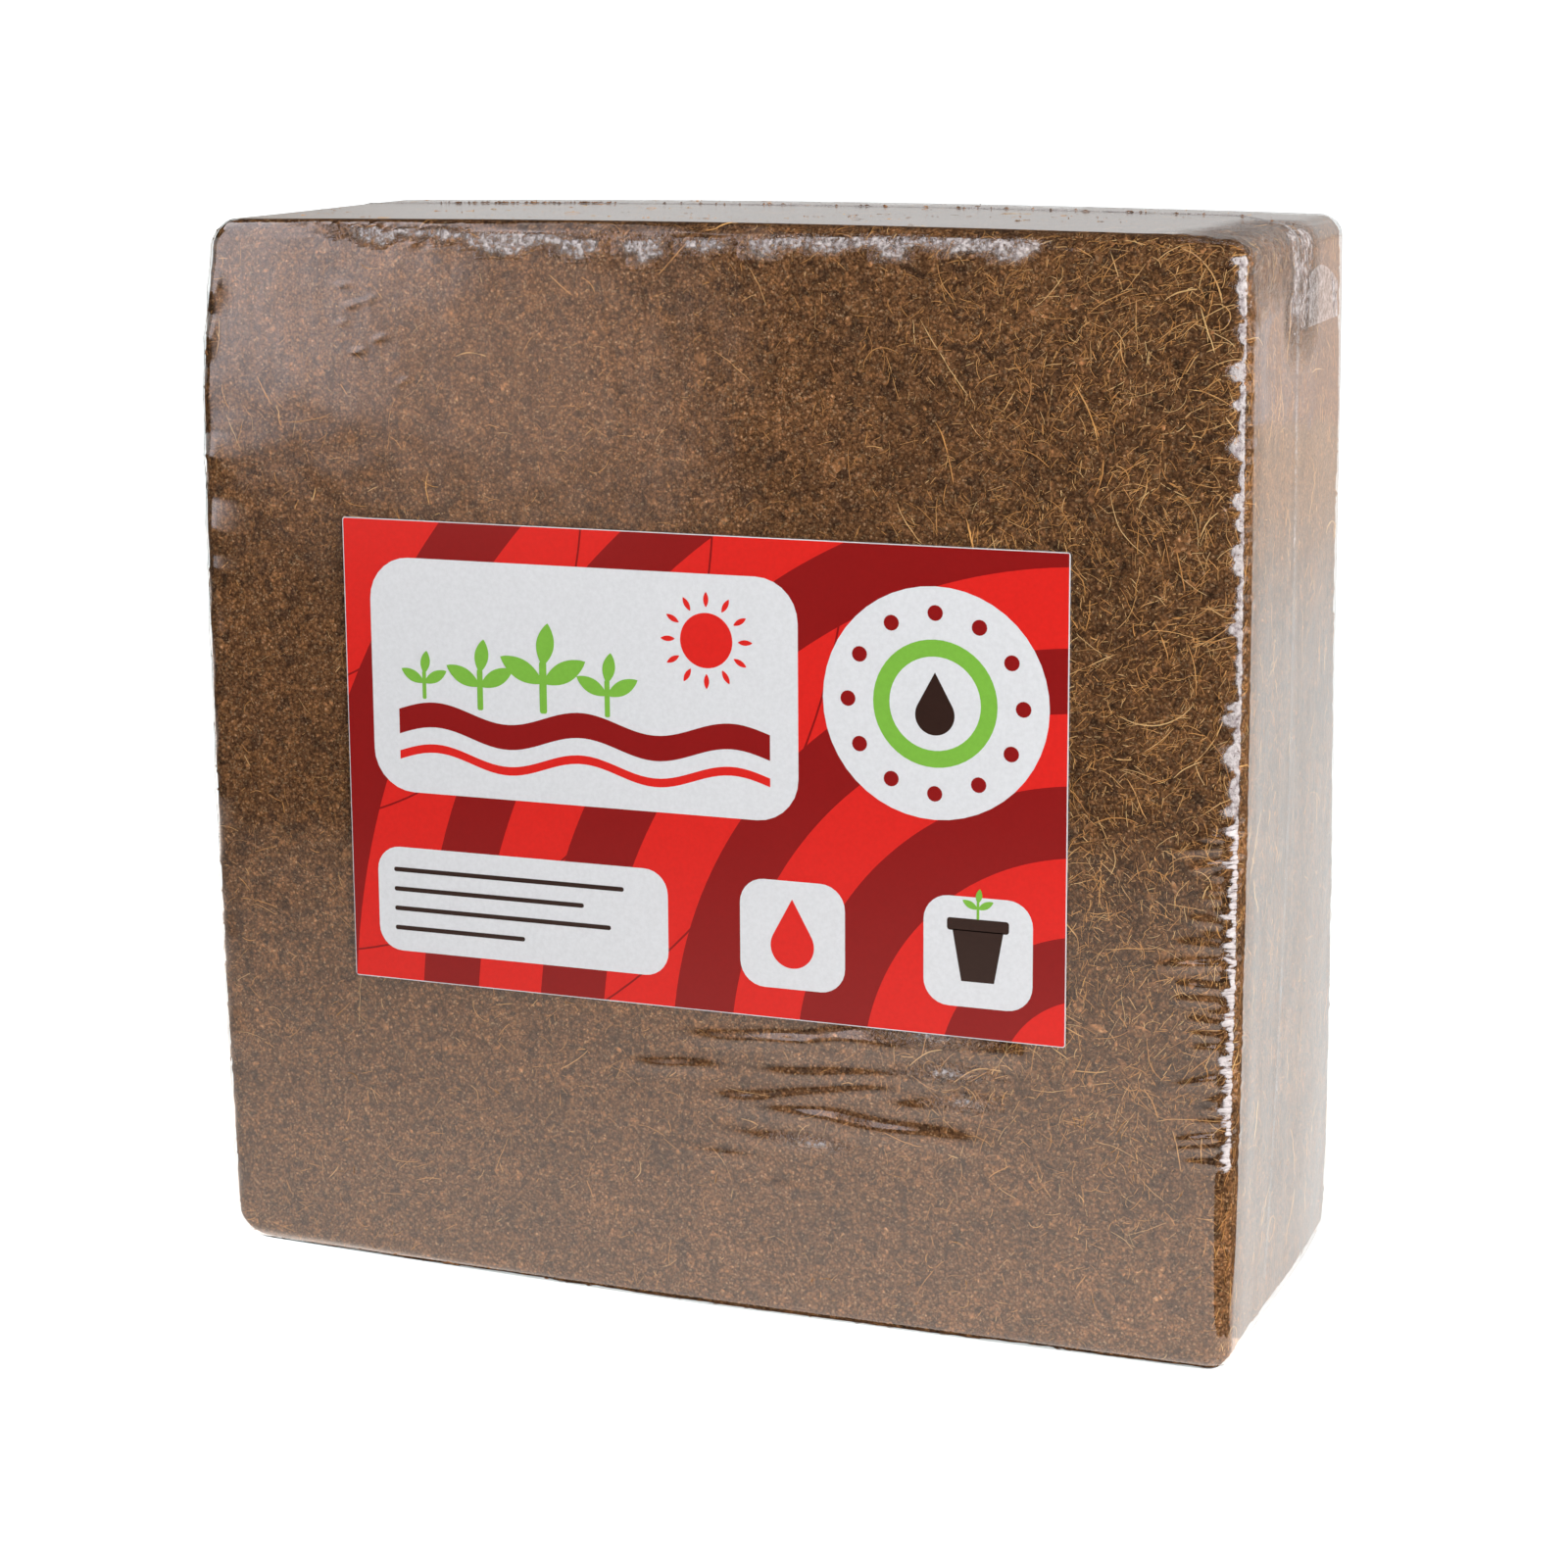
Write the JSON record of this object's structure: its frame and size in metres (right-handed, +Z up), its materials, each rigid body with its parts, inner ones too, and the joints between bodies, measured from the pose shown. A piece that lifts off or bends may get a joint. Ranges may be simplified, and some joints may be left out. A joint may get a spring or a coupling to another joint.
{
  "type": "coconut coir bale",
  "caption": "Square bale of pressed coconut coir, shrink-wrapped in clear film with a red and white label on its front, standing on its narrow side",
  "frame": {"origin": "centre of the bottom of the bale's bounding box, on the surface that it stands on", "axes": "+Z up, the label faces -Y, +X is to the right as one looks at the label"},
  "size_m": [0.302, 0.1203, 0.3012],
  "materials": {
    "coir": "rough pressed coir pith and fibre, dull",
    "film": "clear shrink film, glossy",
    "label": "coated paper, semi-gloss"
  },
  "bodies": {
    "root": {"coir_block": "coir", "shrink_film": "film", "label": "label"}
  },
  "joints": []
}
